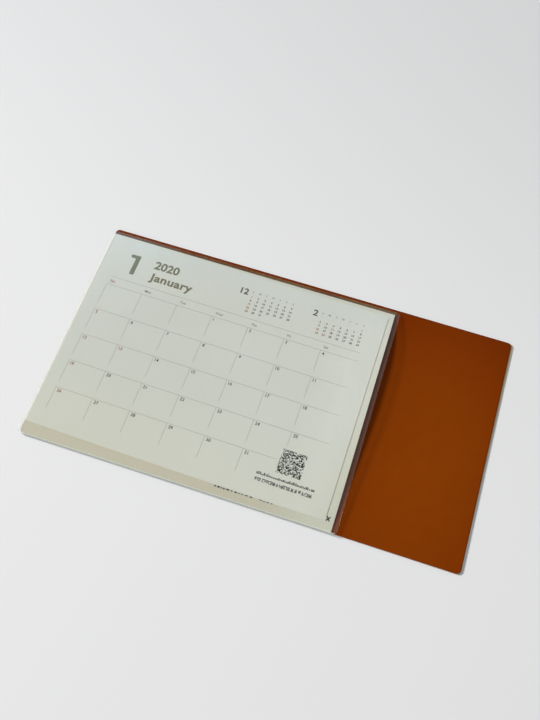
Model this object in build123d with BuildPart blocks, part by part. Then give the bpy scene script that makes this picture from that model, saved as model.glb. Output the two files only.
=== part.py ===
from build123d import *
import os

# Desk pad calendar, millimetres. A leather mat lies on the desk. On its left part lie a paper
# under-sheet and the calendar page, and a clear soft cover sheet, held along its far edge, lies on both.
# The origin is the middle of the mat's underside, +X runs along the mat to the right, +Y away from
# the user and +Z up.

# Mat
mat_length = 598.0
mat_depth = 339.0
mat_corner_radius = 6.0
leather_thickness = 0.8
leather_edge_round = 0.3
backing_thickness = 0.5
backing_peek = 2.6

# Under-sheet, flush with the mat's left and near edges
undersheet_length = 429.5
undersheet_far_margin = 8.5
undersheet_thickness = 0.3

# Calendar page, laid on the under-sheet a little askew
page_length = 419.0
page_depth = 311.5
page_thickness = 0.15
page_left_margin = 4.1
page_far_margin = 9.6
page_skew_angle = 0.72
page_near_edge_bow = 1.2
ink_thickness = 0.04

# Clear cover sheet
cover_left_overhang = 2.5
cover_near_overhang = 1.2
cover_right_margin = 7.5
cover_far_margin = 4.2
cover_thickness = 1.0
cover_clearance = 0.11
cover_corner_radius = 5.0
cover_lifted_width = 95.0

# The cover's blank passes its outline all round. Down its depth, these shares of the lift are
# reached at its right edge. The bend share sets how late along the lifted width it turns up.
blank_overrun = 5.0
blank_lift = 7.1
blank_station_shares = (0, 0.12, 0.38, 0.68, 1)
blank_lift_shares = (0, 0.7, 1, 0.62, 0.12)
bend_share = 0.45

# Adhesive strip under the cover's far edge
strip_width = 3.6
strip_end_margin = 5.0

# Month grid on the page
grid_left_margin = 18.2
grid_right_margin = 24.2
grid_far_margin = 82.0
grid_near_margin = 14.75
columns = 7
rows = 5
rule_width = 0.4
heading_rule_gap = 13.5
column_rule_gap = 9.95
column_rule_offset = 0.6
cut_rows = 1
block_rule_gap = 4.6
edge_rule_width = 0.7
edge_rule_inset = 0.6
edge_rule_end_margin = 5.0

# Dates, near right of each cell's far left corner. Sundays and holidays are red.
date_height = 4.4
date_width = 2.5
date_pitch = 3.2
date_stroke = 0.55
date_left_margin = 3.9
date_far_margin = 1.9
first_column = 3
last_date = 31
holidays = (1, 13)

# Weekday marks between the two heading rules
weekday_mark_length = 10.5
weekday_mark_length_shares = (0.76, 1, 0.81, 0.95, 0.9, 0.57, 0.76)
weekday_mark_height = 2.0
weekday_left_margin = 3.0
weekday_middle = 6.3

# Heading: month number, year and month name
month_number_height = 32.5
month_number_width = 13.0
month_number_stroke = 6.4
month_number_flag = 5.0
month_number_left = 35.6
heading_far_margin = 23.8
year_height = 12.8
year_digit_width = 8.2
year_pitch = 9.6
year_stroke = 2.3
year_left = 73.4
name_far_margin = 44.6
name_letter_height = 8.6
name_capital_height = 12.0
name_letter_width = 6.4
name_pitch = 9.1
name_letters = 7

# Small calendars of the months before and after, placed by the middle of their first column
small_right_margin = 91.2
small_calendar_pitch = 104.7
small_far_margin = 25.5
small_column_pitch = 10.03
small_row_pitch = 6.05
small_first_row_drop = 8.3
small_mark_length = 3.6
small_mark_height = 2.3
small_initial_length = 2.0
small_label_height = 9.0
small_label_width = 4.9
small_label_pitch = 6.0
small_label_stroke = 1.3
small_label_gap = 6.6
small_labels = ("12", "2")
small_first_columns = (0, 6)
small_last_dates = (31, 29)
small_holidays = ((), (11, 24))

# Chequered block and plain bars in the near right of the page
block_size = 34.0
block_right_margin = 47.0
block_near_margin = 40.7
block_squares = 12
block_square_share = 0.8
bar_row_length = 79.0
bar_row_right_margin = 24.8
bar_row_near_margin = 23.7
bar_row_pitch = 8.6
bar_height = 2.6
bar_height_shares = (1, 0.58)
bar_counts = (7, 9)
bar_fill_shares = (0.82, 0.9)

# Marks on the under-sheet beside the page's near right corner and along its near edge
cross_size = 6.0
cross_stroke = 0.9
cross_angle = 52.0
cross_page_gap = 2.6
cross_corner_gap = 3.6
dash_height = 1.3
dash_gap = 0.5
dash_pitch = 3.7
dash_right_margin = 149.0
dash_count = 21
dash_first_row_count = 13
dash_skipped_count = 3
dash_fill_share = 0.68

# Levels
leather_bottom = backing_thickness
leather_top = leather_bottom + leather_thickness
undersheet_top = leather_top + undersheet_thickness
page_top = undersheet_top + page_thickness
cover_bottom = page_top + cover_clearance
cover_top = cover_bottom + cover_thickness

# Edges of the pieces
mat_left = -mat_length / 2
mat_right = mat_length / 2
mat_far = mat_depth / 2
mat_near = -mat_depth / 2
undersheet_right = mat_left + undersheet_length
undersheet_far = mat_far - undersheet_far_margin
cover_left = mat_left - cover_left_overhang
cover_right = undersheet_right + cover_right_margin
cover_far = mat_far - cover_far_margin
cover_near = mat_near - cover_near_overhang
cover_middle = (cover_far + cover_near) / 2
lift_start = cover_right - cover_lifted_width
blank_left = cover_left - blank_overrun
blank_right = cover_right + blank_overrun
blank_far = cover_far + blank_overrun
blank_near = cover_near - blank_overrun

# Places on the page, from its far left corner
cell_length = (page_length - grid_left_margin - grid_right_margin) / columns
cell_depth = (page_depth - grid_far_margin - grid_near_margin) / rows
block_left = page_length - block_right_margin - block_size
block_far_margin = page_depth - block_near_margin - block_size
small_after_left = page_length - small_right_margin
small_lefts = (small_after_left - small_calendar_pitch, small_after_left)

# The page's own axes start at its far left corner
page_corner = (mat_left + page_left_margin, mat_far - page_far_margin)
page_tilt = Rotation(0, 0, -page_skew_angle)


def page_plane(level):
    """The plane of the page's axes at a height: X along its far edge, Y away from the user."""
    axes = Location((page_corner[0], page_corner[1], level)) * page_tilt
    return Plane(axes)


def corner_of_cell(column, row):
    """The far left corner of a cell, in the page's axes."""
    return (grid_left_margin + column * cell_length, -grid_far_margin - row * cell_depth)


# The bars of a digit: a to f run clockwise round it from the top, and g crosses its middle
digit_bars = {
    "0": "abcdef",
    "1": "bc",
    "2": "abdeg",
    "3": "abcdg",
    "4": "bcfg",
    "5": "acdfg",
    "6": "acdefg",
    "7": "abc",
    "8": "abcdefg",
    "9": "abcdfg",
}


def digit_bar_places(text, left, far, width, height, pitch, stroke):
    """The middles of the level and of the upright bars of a number whose far left corner is given."""
    level, upright = [], []
    for place, digit in enumerate(text):
        start = left + place * pitch
        sides = {
            "a": (start + width / 2, far - stroke / 2),
            "g": (start + width / 2, far - height / 2),
            "d": (start + width / 2, far - height + stroke / 2),
            "f": (start + stroke / 2, far - height / 4),
            "b": (start + width - stroke / 2, far - height / 4),
            "e": (start + stroke / 2, far - 3 * height / 4),
            "c": (start + width - stroke / 2, far - 3 * height / 4),
        }
        for bar in digit_bars[digit]:
            (level if bar in "agd" else upright).append(sides[bar])
    return level, upright


def draw_numbers(numbers, width, height, pitch, stroke):
    """Draws each (text, left, far) of numbers in the sketch that calls it."""
    level, upright = [], []
    for text, left, far in numbers:
        more_level, more_upright = digit_bar_places(text, left, far, width, height, pitch, stroke)
        level += more_level
        upright += more_upright
    with Locations(*upright):
        Rectangle(stroke, (height + stroke) / 2)
    if level:
        with Locations(*level):
            Rectangle(width, stroke)


def small_calendar_places(red):
    """The middles of the red or of the dark number marks of both small calendars."""
    places = []
    for month, left in enumerate(small_lefts):
        for date in range(1, small_last_dates[month] + 1):
            cell = date - 1 + small_first_columns[month]
            column, row = cell % columns, cell // columns
            if (column == 0 or date in small_holidays[month]) == red:
                x = left + column * small_column_pitch
                y = -small_far_margin - small_first_row_drop - row * small_row_pitch
                places.append((x, y))
    return places


def mat_outline():
    """Draws the mat's outline."""
    RectangleRounded(mat_length, mat_depth, mat_corner_radius)


# Leather-look face of the mat
with BuildPart() as leather_face:
    with BuildSketch(Plane.XY.offset(leather_bottom)):
        mat_outline()
    extrude(amount=leather_thickness)
    top_edges = leather_face.faces().sort_by(Axis.Z)[-1].edges()
    fillet(top_edges, radius=leather_edge_round)

# Backing bonded under the leather. It shows past the right edge, most at the far corner.
with BuildPart() as mat_backing:
    with BuildSketch() as backing_outline:
        with BuildLine():
            Polyline(
                (mat_left, mat_near),
                (mat_right, mat_near),
                (mat_right + backing_peek, mat_far),
                (mat_left, mat_far),
                close=True,
            )
        make_face()
        fillet(backing_outline.vertices(), radius=mat_corner_radius)
    extrude(amount=backing_thickness)

# Under-sheet, cut to the mat's outline at its near left corner
with BuildPart() as paper_undersheet:
    with BuildSketch(Plane.XY.offset(leather_top)):
        mat_outline()
        with Locations((undersheet_right, undersheet_far)):
            Rectangle(
                2 * mat_length,
                2 * mat_depth,
                align=(Align.MAX, Align.MAX),
                mode=Mode.INTERSECT,
            )
    extrude(amount=undersheet_thickness)

# Calendar page, with its near edge cut a little bowed
with BuildPart() as calendar_page:
    with BuildSketch(page_plane(undersheet_top)):
        with BuildLine():
            Polyline((0, -page_depth), (0, 0), (page_length, 0), (page_length, -page_depth))
            ThreePointArc(
                (page_length, -page_depth),
                (page_length / 2, -page_depth - page_near_edge_bow),
                (0, -page_depth),
            )
        make_face()
    extrude(amount=page_thickness)

# Clear cover sheet, flat on the page, with its free right part lifted in a gentle bow
with BuildPart() as clear_cover:
    bend = lift_start + bend_share * (blank_right - lift_start)
    for station_share, lift_share in zip(blank_station_shares, blank_lift_shares):
        station = blank_far - station_share * (blank_far - blank_near)
        right_bottom = cover_bottom + lift_share * blank_lift
        right_top = right_bottom + cover_thickness
        with BuildSketch(Plane.XZ.offset(-station)):
            with BuildLine():
                Line((blank_left, cover_bottom), (lift_start, cover_bottom))
                Bezier((lift_start, cover_bottom), (bend, cover_bottom), (blank_right, right_bottom))
                Line((blank_right, right_bottom), (blank_right, right_top))
                Bezier((blank_right, right_top), (bend, cover_top), (lift_start, cover_top))
                Line((lift_start, cover_top), (blank_left, cover_top))
                Line((blank_left, cover_top), (blank_left, cover_bottom))
            make_face()
    loft()
    with BuildSketch(Plane.XY):
        with Locations(((cover_left + cover_right) / 2, cover_middle)):
            RectangleRounded(cover_right - cover_left, cover_far - cover_near, cover_corner_radius)
    extrude(amount=cover_top + 2 * blank_lift, mode=Mode.INTERSECT)

# Adhesive strip that holds the cover's far edge to the leather
with BuildPart() as cover_adhesive_strip:
    with BuildSketch(Plane.XY.offset(leather_top)):
        with Locations(((mat_left + cover_right) / 2, cover_far)):
            Rectangle(
                cover_right - mat_left - 2 * strip_end_margin,
                strip_width,
                align=(Align.CENTER, Align.MAX),
            )
    extrude(amount=cover_bottom - leather_top)

# Printed rules of the month grid
with BuildPart() as printed_rules:
    with BuildSketch(page_plane(page_top)):
        whole_rules = [corner_of_cell(0, row) for row in range(rows - cut_rows)]
        whole_rules.append((grid_left_margin, heading_rule_gap - grid_far_margin))
        with Locations(*whole_rules):
            Rectangle(columns * cell_length, rule_width, align=(Align.MIN, Align.CENTER))
        cut_rule_length = block_left - block_rule_gap - grid_left_margin
        with Locations(*[corner_of_cell(0, row) for row in range(rows - cut_rows, rows)]):
            Rectangle(cut_rule_length, rule_width, align=(Align.MIN, Align.CENTER))
        uprights = []
        for row in range(rows):
            for column in range(columns):
                x, y = corner_of_cell(column, row)
                if column < columns - 1 or row < rows - cut_rows - 1:
                    uprights.append((x + column_rule_offset, y))
        column_rule_length = cell_depth - column_rule_gap
        with Locations(*uprights):
            Rectangle(rule_width, column_rule_length, align=(Align.CENTER, Align.MAX))
        x, y = corner_of_cell(columns - 1, rows - cut_rows - 1)
        cut_column_rule_length = y + block_far_margin - block_rule_gap
        with Locations((x + column_rule_offset, y)):
            Rectangle(rule_width, cut_column_rule_length, align=(Align.CENTER, Align.MAX))
    extrude(amount=ink_thickness)

# Printed line along the page's right edge
with BuildPart() as printed_edge_line:
    with BuildSketch(page_plane(page_top)):
        with Locations((page_length - edge_rule_inset, -page_depth / 2)):
            Rectangle(edge_rule_width, page_depth - 2 * edge_rule_end_margin)
    extrude(amount=ink_thickness)


def date_numbers(red):
    """The red or the dark dates, each as its text and far left corner."""
    numbers = []
    for date in range(1, last_date + 1):
        cell = date - 1 + first_column
        column, row = cell % columns, cell // columns
        x, y = corner_of_cell(column, row)
        if (column == 0 or date in holidays) == red:
            numbers.append((str(date), x + date_left_margin, y - date_far_margin))
    return numbers


def weekday_places(first, last):
    """The near left corners of the weekday marks from first to last."""
    near = weekday_middle - weekday_mark_height / 2 - grid_far_margin
    return [
        (grid_left_margin + column * cell_length + weekday_left_margin, near)
        for column in range(first, last)
    ]


# Dark dates
with BuildPart() as printed_dates:
    with BuildSketch(page_plane(page_top)):
        draw_numbers(date_numbers(False), date_width, date_height, date_pitch, date_stroke)
    extrude(amount=ink_thickness)

# Red dates, with the first weekday mark
with BuildPart() as printed_red_dates:
    with BuildSketch(page_plane(page_top)):
        draw_numbers(date_numbers(True), date_width, date_height, date_pitch, date_stroke)
        with Locations(*weekday_places(0, 1)):
            first_length = weekday_mark_length_shares[0] * weekday_mark_length
            Rectangle(first_length, weekday_mark_height, align=Align.MIN)
    extrude(amount=ink_thickness)

# Weekday marks of the other columns, and the initials over the small calendars
with BuildPart() as printed_weekdays:
    with BuildSketch(page_plane(page_top)):
        for place, share in zip(weekday_places(1, columns), weekday_mark_length_shares[1:]):
            with Locations(place):
                Rectangle(share * weekday_mark_length, weekday_mark_height, align=Align.MIN)
        initials = []
        for left in small_lefts:
            for column in range(columns):
                initials.append((left + column * small_column_pitch, -small_far_margin))
        with Locations(*initials):
            Rectangle(small_initial_length, small_mark_height)
    extrude(amount=ink_thickness)

# Month number, year and a block for each letter of the month's name
with BuildPart() as printed_heading:
    with BuildSketch(page_plane(page_top)):
        with Locations((month_number_left + month_number_width, -heading_far_margin)):
            Rectangle(month_number_stroke, month_number_height, align=Align.MAX)
            Rectangle(month_number_width, month_number_flag, align=Align.MAX)
        year = [("2020", year_left, -heading_far_margin)]
        draw_numbers(year, year_digit_width, year_height, year_pitch, year_stroke)
        name_near = -name_far_margin - name_capital_height
        with Locations((year_left, name_near)):
            Rectangle(name_letter_width, name_capital_height, align=Align.MIN)
        letters = [(year_left + place * name_pitch, name_near) for place in range(1, name_letters)]
        with Locations(*letters):
            Rectangle(name_letter_width, name_letter_height, align=Align.MIN)
    extrude(amount=ink_thickness)

# Small calendars: month numbers and dark number marks
with BuildPart() as printed_small_months:
    with BuildSketch(page_plane(page_top)):
        labels = []
        for left, label in zip(small_lefts, small_labels):
            label_left = left - small_label_gap - len(label) * small_label_pitch
            labels.append((label, label_left, -small_far_margin + small_mark_height))
        draw_numbers(
            labels, small_label_width, small_label_height, small_label_pitch, small_label_stroke
        )
        with Locations(*small_calendar_places(False)):
            Rectangle(small_mark_length, small_mark_height)
    extrude(amount=ink_thickness)

# Small calendars: red number marks
with BuildPart() as printed_small_red_marks:
    with BuildSketch(page_plane(page_top)):
        with Locations(*small_calendar_places(True)):
            Rectangle(small_mark_length, small_mark_height)
    extrude(amount=ink_thickness)

# Chequered block and the plain bars under it
with BuildPart() as printed_block:
    with BuildSketch(page_plane(page_top)):
        square_pitch = block_size / block_squares
        squares = []
        for column in range(block_squares):
            for row in range(column % 2, block_squares, 2):
                x = block_left + (column + 1 / 2) * square_pitch
                y = -block_far_margin - (row + 1 / 2) * square_pitch
                squares.append((x, y))
        with Locations(*squares):
            Rectangle(block_square_share * square_pitch, block_square_share * square_pitch)
        bar_row_left = page_length - bar_row_right_margin - bar_row_length
        bar_rows = zip(bar_height_shares, bar_counts, bar_fill_shares)
        for row, (height_share, count, fill_share) in enumerate(bar_rows):
            y = bar_row_near_margin + row * bar_row_pitch - page_depth
            bar_pitch = bar_row_length / count
            bars = [(bar_row_left + (bar + 1 / 2) * bar_pitch, y) for bar in range(count)]
            with Locations(*bars):
                Rectangle(fill_share * bar_pitch, height_share * bar_height)
    extrude(amount=ink_thickness)

# Cross beside the page's near right corner and dashes along its near edge, on the under-sheet
with BuildPart() as printed_cut_marks:
    with BuildSketch(page_plane(undersheet_top)):
        cross_place = (page_length + cross_page_gap, cross_corner_gap - page_depth)
        with Locations(Location(cross_place, cross_angle), Location(cross_place, -cross_angle)):
            Rectangle(cross_size, cross_stroke)
        dash_left = page_length - dash_right_margin
        dash_far = -page_depth - page_near_edge_bow - dash_gap
        dashes = []
        for dash in range(dash_count):
            if not 0 <= dash - dash_first_row_count < dash_skipped_count:
                dashes.append((dash_left + dash * dash_pitch, dash_far))
        with Locations(*dashes):
            Rectangle(dash_fill_share * dash_pitch, dash_height, align=(Align.MIN, Align.MAX))
    extrude(amount=ink_thickness)

pieces = {
    "leather_face": leather_face,
    "mat_backing": mat_backing,
    "paper_undersheet": paper_undersheet,
    "calendar_page": calendar_page,
    "clear_cover": clear_cover,
    "cover_adhesive_strip": cover_adhesive_strip,
    "printed_rules": printed_rules,
    "printed_edge_line": printed_edge_line,
    "printed_dates": printed_dates,
    "printed_red_dates": printed_red_dates,
    "printed_weekdays": printed_weekdays,
    "printed_heading": printed_heading,
    "printed_small_months": printed_small_months,
    "printed_small_red_marks": printed_small_red_marks,
    "printed_block": printed_block,
    "printed_cut_marks": printed_cut_marks,
}

os.makedirs("parts", exist_ok=True)
for name, piece in pieces.items():
    piece.part.label = name
    export_step(piece.part, f"parts/{name}.step")
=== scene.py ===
import math
import random

import bmesh
import bpy
import numpy as np
from mathutils import Matrix, Vector


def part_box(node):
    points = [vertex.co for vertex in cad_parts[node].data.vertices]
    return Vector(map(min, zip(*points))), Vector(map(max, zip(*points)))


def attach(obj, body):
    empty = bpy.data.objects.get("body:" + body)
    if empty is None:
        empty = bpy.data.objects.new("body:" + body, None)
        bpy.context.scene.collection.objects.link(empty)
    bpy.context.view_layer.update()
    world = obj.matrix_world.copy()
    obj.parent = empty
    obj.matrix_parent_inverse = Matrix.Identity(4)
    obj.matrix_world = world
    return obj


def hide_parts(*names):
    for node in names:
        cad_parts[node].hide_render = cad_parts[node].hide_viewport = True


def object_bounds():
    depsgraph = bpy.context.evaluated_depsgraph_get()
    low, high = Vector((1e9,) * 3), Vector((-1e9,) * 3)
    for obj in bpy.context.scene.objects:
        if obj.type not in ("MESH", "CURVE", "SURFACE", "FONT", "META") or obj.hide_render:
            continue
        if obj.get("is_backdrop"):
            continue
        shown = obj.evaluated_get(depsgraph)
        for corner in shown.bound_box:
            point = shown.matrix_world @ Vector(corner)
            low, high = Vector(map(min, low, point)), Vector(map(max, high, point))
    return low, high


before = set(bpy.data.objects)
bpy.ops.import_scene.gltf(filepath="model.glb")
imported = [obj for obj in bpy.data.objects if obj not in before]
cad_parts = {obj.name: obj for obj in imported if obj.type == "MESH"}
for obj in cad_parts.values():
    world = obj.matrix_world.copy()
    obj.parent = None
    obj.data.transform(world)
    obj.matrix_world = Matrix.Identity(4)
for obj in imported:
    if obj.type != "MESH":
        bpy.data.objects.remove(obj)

# A desk mat with a month page under a clear cover sheet. Metres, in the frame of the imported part.
# Sizes are given in millimetres times MM.
MM = 0.001
BODY = "root"
cad_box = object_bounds()

# Camera, fitted to the photograph's 540 by 720 pixels
CAMERA_PLACE = (113.5 * MM, -447.2 * MM, 1052.2 * MM)
CAMERA_TURN = (math.radians(25.45), math.radians(-1.39), math.radians(17.98))
LENS = 41.98
SENSOR = 36.0
CLIP_START = 0.01

# Lamps and surroundings
LAMP_AZIMUTH = math.radians(172)
LAMP_ELEVATION = math.radians(18.5)
LAMP_DISTANCE = 12.0
LAMP_SIZE = 1.7
LAMP_POWER = 2690
LAMP_COLOR = (1.0, 1.0, 1.0)
LAMP_AIM = (0, 0, 0)
PANEL_AIM = (-352 * MM, 195 * MM, 0)
PANEL_DIRECTION = (-0.358, 0.489, 0.795)
PANEL_DISTANCE = 3.0
PANEL_SIZE = 0.7
PANEL_POWER = 2.4
PANEL_COLOR = (0.42, 0.80, 1.0)
WORLD_COLOR = (0.99, 0.995, 1.0)
ZENITH_LEVEL = 0.27
HORIZON_RISE = 0.8
HORIZON_POWER = 3.0
FLOOR_COLOR = (0.83, 0.825, 0.825)
# Painted shade: the floor darkens towards the far side, standing in for the light's falloff.
FLOOR_FAR_SHADE = (0.70, 0.70, 0.70)
FLOOR_SHADE_FADE = (-0.15, 0.9)
FLOOR_SIZE = 6.0
FLOOR_STEPS = 4
FLOOR_DROP = 0.02 * MM

# Levels and edges of the pieces, from the frame
mat_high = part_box("leather_face")[1]
undersheet_low, undersheet_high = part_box("paper_undersheet")
page_low, page_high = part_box("calendar_page")
cover_low, cover_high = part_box("clear_cover")
UNDERSHEET_TOP = undersheet_high.z
PAGE_TOP = page_high.z
COVER_BOTTOM = cover_low.z
COVER_THICKNESS = 1.0 * MM

# Lift of the free right part: a share of the lift at each share of the depth, from the far edge
LIFT_STATIONS = (0.0, 0.12, 0.38, 0.68, 1.0)
LIFT_SHARES = (0.0, 0.7, 1.0, 0.62, 0.12)
LIFTED_WIDTH = 95 * MM
COVER_LIFT = 6.5 * MM

# The paper under it lifts less and nearer its edge. Its first part bends, the rest is straight.
PAPER_STATIONS = (0.0, 0.12, 0.38, 0.68, 0.85, 1.0)
PAPER_SHARES = (0.0, 0.66, 1.0, 0.62, 0.30, 0.02)
PAPER_LIFTED_WIDTH = 48.5 * MM
PAPER_BEND_SHARE = 0.3
PAPER_LIFT = 5.2 * MM
PAPER_REACH = 0.5 * MM


def hermite(stations, values, x):
    """A smooth curve through the values, flat at its highest one."""
    stations, values = np.array(stations), np.array(values)
    slopes = np.gradient(values, stations)
    slopes[np.argmax(values)] = 0
    x = np.clip(x, stations[0], stations[-1])
    k = np.clip(np.searchsorted(stations, x, side="right") - 1, 0, len(stations) - 2)
    step = stations[k + 1] - stations[k]
    t = (x - stations[k]) / step
    first = values[k] * (1 + 2 * t) * (1 - t) ** 2 + values[k + 1] * t**2 * (3 - 2 * t)
    return first + step * (slopes[k] * t * (1 - t) ** 2 + slopes[k + 1] * t**2 * (t - 1))


def cover_rise(x, y):
    """How far the cover's free right part is lifted at a place."""
    along = max(0.0, (x - cover_high.x + LIFTED_WIDTH) / LIFTED_WIDTH)
    down = (cover_high.y - y) / (cover_high.y - cover_low.y)
    return COVER_LIFT * along**2 * float(hermite(LIFT_STATIONS, LIFT_SHARES, down))


def paper_place(x, y):
    """Where a place is along the lifted width, and the share of the lift at its depth."""
    along = (x - undersheet_high.x + PAPER_LIFTED_WIDTH) / PAPER_LIFTED_WIDTH
    down = (cover_high.y - y) / (cover_high.y - cover_low.y)
    return along, float(hermite(PAPER_STATIONS, PAPER_SHARES, down))


def paper_rise(x, y):
    """How far the paper is lifted at a place."""
    along, share = paper_place(x, y)
    if along <= 0:
        return 0.0
    bent = along**2 / (2 * PAPER_BEND_SHARE) if along < PAPER_BEND_SHARE else along - PAPER_BEND_SHARE / 2
    return PAPER_LIFT * share * bent / (1 - PAPER_BEND_SHARE / 2)


# This slope is kept as the paper's mark, which sets how much shade is painted on it.
def paper_tilt(x, y, rim):
    """The paper's slope at a place, as a share of the steepest one."""
    along, share = paper_place(x, y)
    return share * min(max(along / PAPER_BEND_SHARE, 0.0), 1.0)


# The page's own axes: its far left corner, and a small turn
page_vertices = [v.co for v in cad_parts["calendar_page"].data.vertices]
far_left = max(page_vertices, key=lambda co: co.y)
far_right = max(page_vertices, key=lambda co: co.x)
PAGE_TURN = math.atan2(far_right.y - far_left.y, far_right.x - far_left.x)
PAGE_LENGTH = (far_right.xy - far_left.xy).length
PAGE_DEPTH = 311.5 * MM
PAGE_BOW = 1.2 * MM
PAGE_AXES = Matrix.Translation((far_left.x, far_left.y, 0)) @ Matrix.Rotation(PAGE_TURN, 4, "Z")

# Print, measured from the page's far left corner
GRID_LEFT = 18.2 * MM
GRID_FAR = 82.0 * MM
CELL_LENGTH = 53.8 * MM
CELL_DEPTH = 42.95 * MM
COLUMNS = 7
ROWS = 5
INK = 0.02 * MM
INK_DEPTH = 0.02 * MM
JOIN_DISTANCE = 0.0001 * MM


# Node helpers

def material(name):
    """A new material with its tree emptied but for the output."""
    made = bpy.data.materials.new(name)
    made.use_nodes = True
    made.node_tree.nodes.clear()
    return made, Tree(made.node_tree)


class Tree:
    """Short calls to build a node tree."""

    def __init__(self, tree):
        self.tree = tree
        self.coordinates = None

    def fill(self, socket, value):
        """Joins a socket to another one, or sets it. A colour has three numbers."""
        if isinstance(value, bpy.types.NodeSocket):
            self.tree.links.new(value, socket)
        elif isinstance(value, tuple) and socket.type == "RGBA":
            socket.default_value = (*value, 1.0)
        else:
            socket.default_value = value

    def add(self, kind, inputs=None, **settings):
        """A new node with its settings and inputs."""
        node = self.tree.nodes.new(kind)
        for name, value in settings.items():
            setattr(node, name, value)
        for name, value in (inputs or {}).items():
            self.fill(node.inputs[name], value)
        return node

    def place(self):
        """The place on the object, in metres."""
        if self.coordinates is None:
            self.coordinates = self.add("ShaderNodeTexCoord").outputs["Object"]
        return self.coordinates

    def noise(self, scale, detail=3.0, roughness=0.5):
        """Noise from 0 to 1 with that many waves a metre."""
        inputs = {"Vector": self.place(), "Scale": scale, "Detail": detail, "Roughness": roughness}
        return self.add("ShaderNodeTexNoise", inputs).outputs["Fac"]

    def remap(self, value, low, high, to_low=0.0, to_high=1.0):
        """A smooth step from one level to another, as a value goes from low to high."""
        inputs = {"Value": value, "From Min": low, "From Max": high, "To Min": to_low, "To Max": to_high}
        return self.add("ShaderNodeMapRange", inputs, interpolation_type="SMOOTHSTEP").outputs["Result"]

    def along(self, axis, start, end):
        """A share that goes from 0 to 1 between two places on an axis."""
        value = self.add("ShaderNodeSeparateXYZ", {"Vector": self.place()}).outputs[axis]
        return self.remap(value, start, end)

    def mark(self):
        """What layered_sheet keeps at each vertex."""
        return self.add("ShaderNodeAttribute", attribute_name="mark").outputs["Fac"]

    def math(self, operation, a, b=0.0):
        return self.add("ShaderNodeMath", {0: a, 1: b}, operation=operation).outputs[0]

    def mix(self, share, a, b):
        """A mix of two colours."""
        node = self.add("ShaderNodeMix", data_type="RGBA")
        for index, value in ((0, share), (6, a), (7, b)):
            self.fill(node.inputs[index], value)
        return node.outputs[2]

    def bump(self, height, strength, distance):
        inputs = {"Height": height, "Strength": strength, "Distance": distance}
        return self.add("ShaderNodeBump", inputs).outputs["Normal"]

    def principled(self, color, roughness, normal=None, **inputs):
        """A Principled shader, joined to the output."""
        shader = self.add("ShaderNodeBsdfPrincipled")
        values = {"Base Color": color, "Roughness": roughness}
        values.update({name.replace("_", " "): value for name, value in inputs.items()})
        if normal is not None:
            values["Normal"] = normal
        for name, value in values.items():
            self.fill(shader.inputs[name], value)
        self.output(shader.outputs[0])

    def output(self, socket):
        self.add("ShaderNodeOutputMaterial", {"Surface": socket})


# Materials

LEATHER_LIGHT_PLACE = (213 * MM, -60 * MM, 0)
LEATHER_LIGHT_SCALE = (160 * MM, 265 * MM, 1.0)
LEATHER_LIGHT = (0.250, 0.0455, 0.0014)
LEATHER_DARK = (0.164, 0.0230, 0.0003)
LEATHER_CLOUDS = (0.165, 0.0240, 0.0004)
LEATHER_STREAKS = (0.150, 0.0200, 0.0004)
LEATHER_SHEEN = (1.0, 0.62, 0.35)
# Painted shade: a dark border along the far and right edges, standing in for the shade on the leather's
# rounded edge.
LEATHER_EDGE_SHADE = (0.060, 0.009, 0.0004)
LEATHER_EDGE_SHADE_SHARE = 0.55
LEATHER_EDGE_SHADE_INSETS = (1.7 * MM, 0.6 * MM)


def mat_edge(t):
    """1 at the mat's far and right edge, where shade is painted into the leather, and 0 past a narrow border.
    """
    far = t.along("Y", *(mat_high.y - inset for inset in LEATHER_EDGE_SHADE_INSETS))
    right = t.along("X", *(mat_high.x - inset for inset in LEATHER_EDGE_SHADE_INSETS))
    return t.math("MAXIMUM", far, right)


def leather_material():
    """Smooth tan-brown leather look: lighter in its middle, softly clouded, with a fine grain and painted
    shade along its far and right edges.
    """
    made, t = material("leather_look")
    clouds = t.noise(9, 4, 0.55)
    streaks = t.noise(55, 3, 0.6)
    grain = t.add("ShaderNodeTexVoronoi", {"Vector": t.place(), "Scale": 900.0}).outputs["Distance"]
    pores = t.noise(2600, 2, 0.6)
    placed = t.add("ShaderNodeMapping", {
        "Vector": t.place(), "Location": LEATHER_LIGHT_PLACE, "Scale": LEATHER_LIGHT_SCALE,
    }, vector_type="TEXTURE").outputs[0]
    reach = t.add("ShaderNodeVectorMath", {0: placed}, operation="LENGTH").outputs["Value"]
    outer = t.math("MINIMUM", t.math("MULTIPLY", reach, reach), 1.0)
    color = t.mix(outer, LEATHER_LIGHT, LEATHER_DARK)
    color = t.mix(t.remap(clouds, 0.3, 0.7, 0.0, 0.16), color, LEATHER_CLOUDS)
    color = t.mix(t.remap(streaks, 0.35, 0.75, 0.0, 0.10), color, LEATHER_STREAKS)
    # Painted shade along the far and right edges.
    color = t.mix(t.math("MULTIPLY", mat_edge(t), LEATHER_EDGE_SHADE_SHARE), color, LEATHER_EDGE_SHADE)
    height = t.math("ADD", t.math("MULTIPLY", grain, 0.7), t.math("MULTIPLY", pores, 0.3))
    normal = t.bump(height, 0.2, 0.04 * MM)
    roughness = t.remap(streaks, 0.3, 0.7, 0.46, 0.56)
    t.principled(color, roughness, normal, Specular_Tint=LEATHER_SHEEN, Specular_IOR_Level=0.045)
    return made


SUEDE_DARK = (0.68, 0.56, 0.36)
SUEDE_LIGHT = (0.80, 0.68, 0.46)
SUEDE_PATCHES = (0.62, 0.50, 0.32)


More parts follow.
